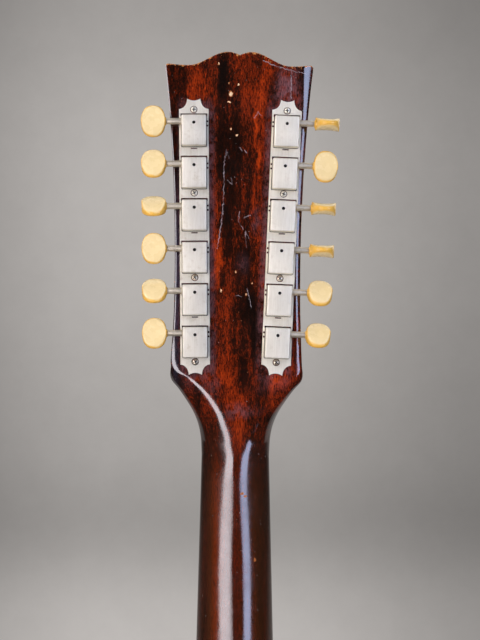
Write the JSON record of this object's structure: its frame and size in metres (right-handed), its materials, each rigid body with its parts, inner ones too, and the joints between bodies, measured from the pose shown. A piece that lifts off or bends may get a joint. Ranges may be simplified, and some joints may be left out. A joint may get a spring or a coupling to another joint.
{
  "type": "twelve-string electric guitar",
  "caption": "Solid-body twelve-string electric guitar with a carved top, double cutaway, tilted headstock, strip tuners with oval buttons, stop tailpiece and turning knobs.",
  "frame": {"origin": "on the centre line at the nut, on the plane where the fingerboard is glued to the neck", "axes": "+Z along the neck towards the headstock, -Y out of the strings' side, +Y out of the back, +X to the treble side"},
  "size_m": [0.3466, 0.098, 1.0643],
  "materials": {
    "stained_mahogany": "gloss lacquer over a red-brown stain, worn at the edges",
    "rosewood": "open-pored, oiled",
    "black_lacquer": "gloss black lacquer",
    "bone": "polished bone",
    "aged_nickel": "aged satin nickel plate",
    "string_steel": "plain and wound steel",
    "cream_plastic": "yellowed cream, semi-gloss",
    "black_plastic": "semi-gloss",
    "amber_plastic": "clear amber, gloss"
  },
  "bodies": {
    "guitar": {"bass_headstock_wing": "stained_mahogany", "bass_tuner_strip": "aged_nickel", "body": "stained_mahogany", "bridge": "aged_nickel", "bridge_pickup": "aged_nickel", "control_cover": "black_plastic", "fingerboard": "rosewood", "headstock_veneer": "black_lacquer", "heel_strap_button": "aged_nickel", "neck": "stained_mahogany", "neck_pickup": "aged_nickel", "nut": "bone", "output_jack": "aged_nickel", "pickguard": "black_plastic", "string_1a": "string_steel", "string_1b": "string_steel", "string_2a": "string_steel", "string_2b": "string_steel", "string_3a": "string_steel", "string_3b": "string_steel", "string_4a": "string_steel", "string_4b": "string_steel", "string_5a": "string_steel", "string_5b": "string_steel", "string_6a": "string_steel", "string_6b": "string_steel", "tail_strap_button": "aged_nickel", "tailpiece": "aged_nickel", "treble_headstock_wing": "stained_mahogany", "treble_tuner_strip": "aged_nickel", "truss_rod_cover": "black_plastic"},
    "treble_key_1": {"treble_tuner_key_1": "cream_plastic"},
    "treble_post_1": {"treble_string_post_1": "aged_nickel"},
    "treble_key_2": {"treble_tuner_key_2": "cream_plastic"},
    "treble_post_2": {"treble_string_post_2": "aged_nickel"},
    "treble_key_3": {"treble_tuner_key_3": "cream_plastic"},
    "treble_post_3": {"treble_string_post_3": "aged_nickel"},
    "treble_key_4": {"treble_tuner_key_4": "cream_plastic"},
    "treble_post_4": {"treble_string_post_4": "aged_nickel"},
    "treble_key_5": {"treble_tuner_key_5": "cream_plastic"},
    "treble_post_5": {"treble_string_post_5": "aged_nickel"},
    "treble_key_6": {"treble_tuner_key_6": "cream_plastic"},
    "treble_post_6": {"treble_string_post_6": "aged_nickel"},
    "bass_key_1": {"bass_tuner_key_1": "cream_plastic"},
    "bass_post_1": {"bass_string_post_1": "aged_nickel"},
    "bass_key_2": {"bass_tuner_key_2": "cream_plastic"},
    "bass_post_2": {"bass_string_post_2": "aged_nickel"},
    "bass_key_3": {"bass_tuner_key_3": "cream_plastic"},
    "bass_post_3": {"bass_string_post_3": "aged_nickel"},
    "bass_key_4": {"bass_tuner_key_4": "cream_plastic"},
    "bass_post_4": {"bass_string_post_4": "aged_nickel"},
    "bass_key_5": {"bass_tuner_key_5": "cream_plastic"},
    "bass_post_5": {"bass_string_post_5": "aged_nickel"},
    "bass_key_6": {"bass_tuner_key_6": "cream_plastic"},
    "bass_post_6": {"bass_string_post_6": "aged_nickel"},
    "neck_volume": {"neck_volume_knob": "amber_plastic"},
    "neck_tone": {"neck_tone_knob": "amber_plastic"},
    "bridge_volume": {"bridge_volume_knob": "amber_plastic"},
    "bridge_tone": {"bridge_tone_knob": "amber_plastic"},
    "selector": {"selector_lever": "cream_plastic"}
  },
  "joints": [
    {"name": "treble_key_1_turn", "type": "hinge", "parent": "guitar", "child": "treble_key_1", "pos_m": [0.02736, 0.0754, 0.18836], "axis": [0.9999, -0.0047, -0.0155], "continuous": true},
    {"name": "treble_post_1_turn", "type": "hinge", "parent": "guitar", "child": "treble_post_1", "pos_m": [0.02723, 0.07301, 0.18052], "axis": [0, 0.9563, -0.2924], "continuous": true},
    {"name": "treble_key_2_turn", "type": "hinge", "parent": "guitar", "child": "treble_key_2", "pos_m": [0.02695, 0.06798, 0.16407], "axis": [0.9999, -0.0047, -0.0155], "continuous": true},
    {"name": "treble_post_2_turn", "type": "hinge", "parent": "guitar", "child": "treble_post_2", "pos_m": [0.02682, 0.06558, 0.15623], "axis": [0, 0.9563, -0.2924], "continuous": true},
    {"name": "treble_key_3_turn", "type": "hinge", "parent": "guitar", "child": "treble_key_3", "pos_m": [0.02654, 0.06055, 0.13978], "axis": [0.9999, -0.0047, -0.0155], "continuous": true},
    {"name": "treble_post_3_turn", "type": "hinge", "parent": "guitar", "child": "treble_post_3", "pos_m": [0.02641, 0.05815, 0.13194], "axis": [0, 0.9563, -0.2924], "continuous": true},
    {"name": "treble_key_4_turn", "type": "hinge", "parent": "guitar", "child": "treble_key_4", "pos_m": [0.02613, 0.05313, 0.1155], "axis": [0.9999, -0.0047, -0.0155], "continuous": true},
    {"name": "treble_post_4_turn", "type": "hinge", "parent": "guitar", "child": "treble_post_4", "pos_m": [0.02599, 0.05073, 0.10766], "axis": [0, 0.9563, -0.2924], "continuous": true},
    {"name": "treble_key_5_turn", "type": "hinge", "parent": "guitar", "child": "treble_key_5", "pos_m": [0.02571, 0.0457, 0.09121], "axis": [0.9999, -0.0047, -0.0155], "continuous": true},
    {"name": "treble_post_5_turn", "type": "hinge", "parent": "guitar", "child": "treble_post_5", "pos_m": [0.02558, 0.04331, 0.08337], "axis": [0, 0.9563, -0.2924], "continuous": true},
    {"name": "treble_key_6_turn", "type": "hinge", "parent": "guitar", "child": "treble_key_6", "pos_m": [0.0253, 0.03828, 0.06692], "axis": [0.9999, -0.0047, -0.0155], "continuous": true},
    {"name": "treble_post_6_turn", "type": "hinge", "parent": "guitar", "child": "treble_post_6", "pos_m": [0.02517, 0.03588, 0.05908], "axis": [0, 0.9563, -0.2924], "continuous": true},
    {"name": "bass_key_1_turn", "type": "hinge", "parent": "guitar", "child": "bass_key_1", "pos_m": [-0.02859, 0.07539, 0.18833], "axis": [-0.9994, -0.0097, -0.0319], "continuous": true},
    {"name": "bass_post_1_turn", "type": "hinge", "parent": "guitar", "child": "bass_post_1", "pos_m": [-0.02832, 0.073, 0.18049], "axis": [0, 0.9563, -0.2924], "continuous": true},
    {"name": "bass_key_2_turn", "type": "hinge", "parent": "guitar", "child": "bass_key_2", "pos_m": [-0.02774, 0.06797, 0.16405], "axis": [-0.9994, -0.0097, -0.0319], "continuous": true},
    {"name": "bass_post_2_turn", "type": "hinge", "parent": "guitar", "child": "bass_post_2", "pos_m": [-0.02747, 0.06558, 0.15621], "axis": [0, 0.9563, -0.2924], "continuous": true},
    {"name": "bass_key_3_turn", "type": "hinge", "parent": "guitar", "child": "bass_key_3", "pos_m": [-0.0269, 0.06055, 0.13977], "axis": [-0.9994, -0.0097, -0.0319], "continuous": true},
    {"name": "bass_post_3_turn", "type": "hinge", "parent": "guitar", "child": "bass_post_3", "pos_m": [-0.02662, 0.05815, 0.13194], "axis": [0, 0.9563, -0.2924], "continuous": true},
    {"name": "bass_key_4_turn", "type": "hinge", "parent": "guitar", "child": "bass_key_4", "pos_m": [-0.02605, 0.05313, 0.1155], "axis": [-0.9994, -0.0097, -0.0319], "continuous": true},
    {"name": "bass_post_4_turn", "type": "hinge", "parent": "guitar", "child": "bass_post_4", "pos_m": [-0.02578, 0.05073, 0.10766], "axis": [0, 0.9563, -0.2924], "continuous": true},
    {"name": "bass_key_5_turn", "type": "hinge", "parent": "guitar", "child": "bass_key_5", "pos_m": [-0.0252, 0.04571, 0.09122], "axis": [-0.9994, -0.0097, -0.0319], "continuous": true},
    {"name": "bass_post_5_turn", "type": "hinge", "parent": "guitar", "child": "bass_post_5", "pos_m": [-0.02493, 0.04331, 0.08338], "axis": [0, 0.9563, -0.2924], "continuous": true},
    {"name": "bass_key_6_turn", "type": "hinge", "parent": "guitar", "child": "bass_key_6", "pos_m": [-0.02436, 0.03828, 0.06694], "axis": [-0.9994, -0.0097, -0.0319], "continuous": true},
    {"name": "bass_post_6_turn", "type": "hinge", "parent": "guitar", "child": "bass_post_6", "pos_m": [-0.02408, 0.03589, 0.05911], "axis": [0, 0.9563, -0.2924], "continuous": true},
    {"name": "neck_volume_turn", "type": "hinge", "parent": "guitar", "child": "neck_volume", "pos_m": [0.083, 0.0012, -0.66594], "axis": [0, -1, 0], "range_deg": [-150, 150]},
    {"name": "neck_tone_turn", "type": "hinge", "parent": "guitar", "child": "neck_tone", "pos_m": [0.076, 0.0012, -0.72994], "axis": [0, -1, 0], "range_deg": [-150, 150]},
    {"name": "bridge_volume_turn", "type": "hinge", "parent": "guitar", "child": "bridge_volume", "pos_m": [0.12, 0.0012, -0.68994], "axis": [0, -1, 0], "range_deg": [-150, 150]},
    {"name": "bridge_tone_turn", "type": "hinge", "parent": "guitar", "child": "bridge_tone", "pos_m": [0.108, 0.0012, -0.74794], "axis": [0, -1, 0], "range_deg": [-150, 150]},
    {"name": "selector_tilt", "type": "hinge", "parent": "guitar", "child": "selector", "pos_m": [0.106, 0.00634, -0.62594], "axis": [1, 0, 0], "range_deg": [-12, 12]}
  ],
  "couplings": [
    {"joint": "treble_post_1_turn", "follows": "treble_key_1_turn", "ratio": -0.071429},
    {"joint": "treble_post_2_turn", "follows": "treble_key_2_turn", "ratio": -0.071429},
    {"joint": "treble_post_3_turn", "follows": "treble_key_3_turn", "ratio": -0.071429},
    {"joint": "treble_post_4_turn", "follows": "treble_key_4_turn", "ratio": -0.071429},
    {"joint": "treble_post_5_turn", "follows": "treble_key_5_turn", "ratio": -0.071429},
    {"joint": "treble_post_6_turn", "follows": "treble_key_6_turn", "ratio": -0.071429},
    {"joint": "bass_post_1_turn", "follows": "bass_key_1_turn", "ratio": 0.071429},
    {"joint": "bass_post_2_turn", "follows": "bass_key_2_turn", "ratio": 0.071429},
    {"joint": "bass_post_3_turn", "follows": "bass_key_3_turn", "ratio": 0.071429},
    {"joint": "bass_post_4_turn", "follows": "bass_key_4_turn", "ratio": 0.071429},
    {"joint": "bass_post_5_turn", "follows": "bass_key_5_turn", "ratio": 0.071429},
    {"joint": "bass_post_6_turn", "follows": "bass_key_6_turn", "ratio": 0.071429}
  ]
}
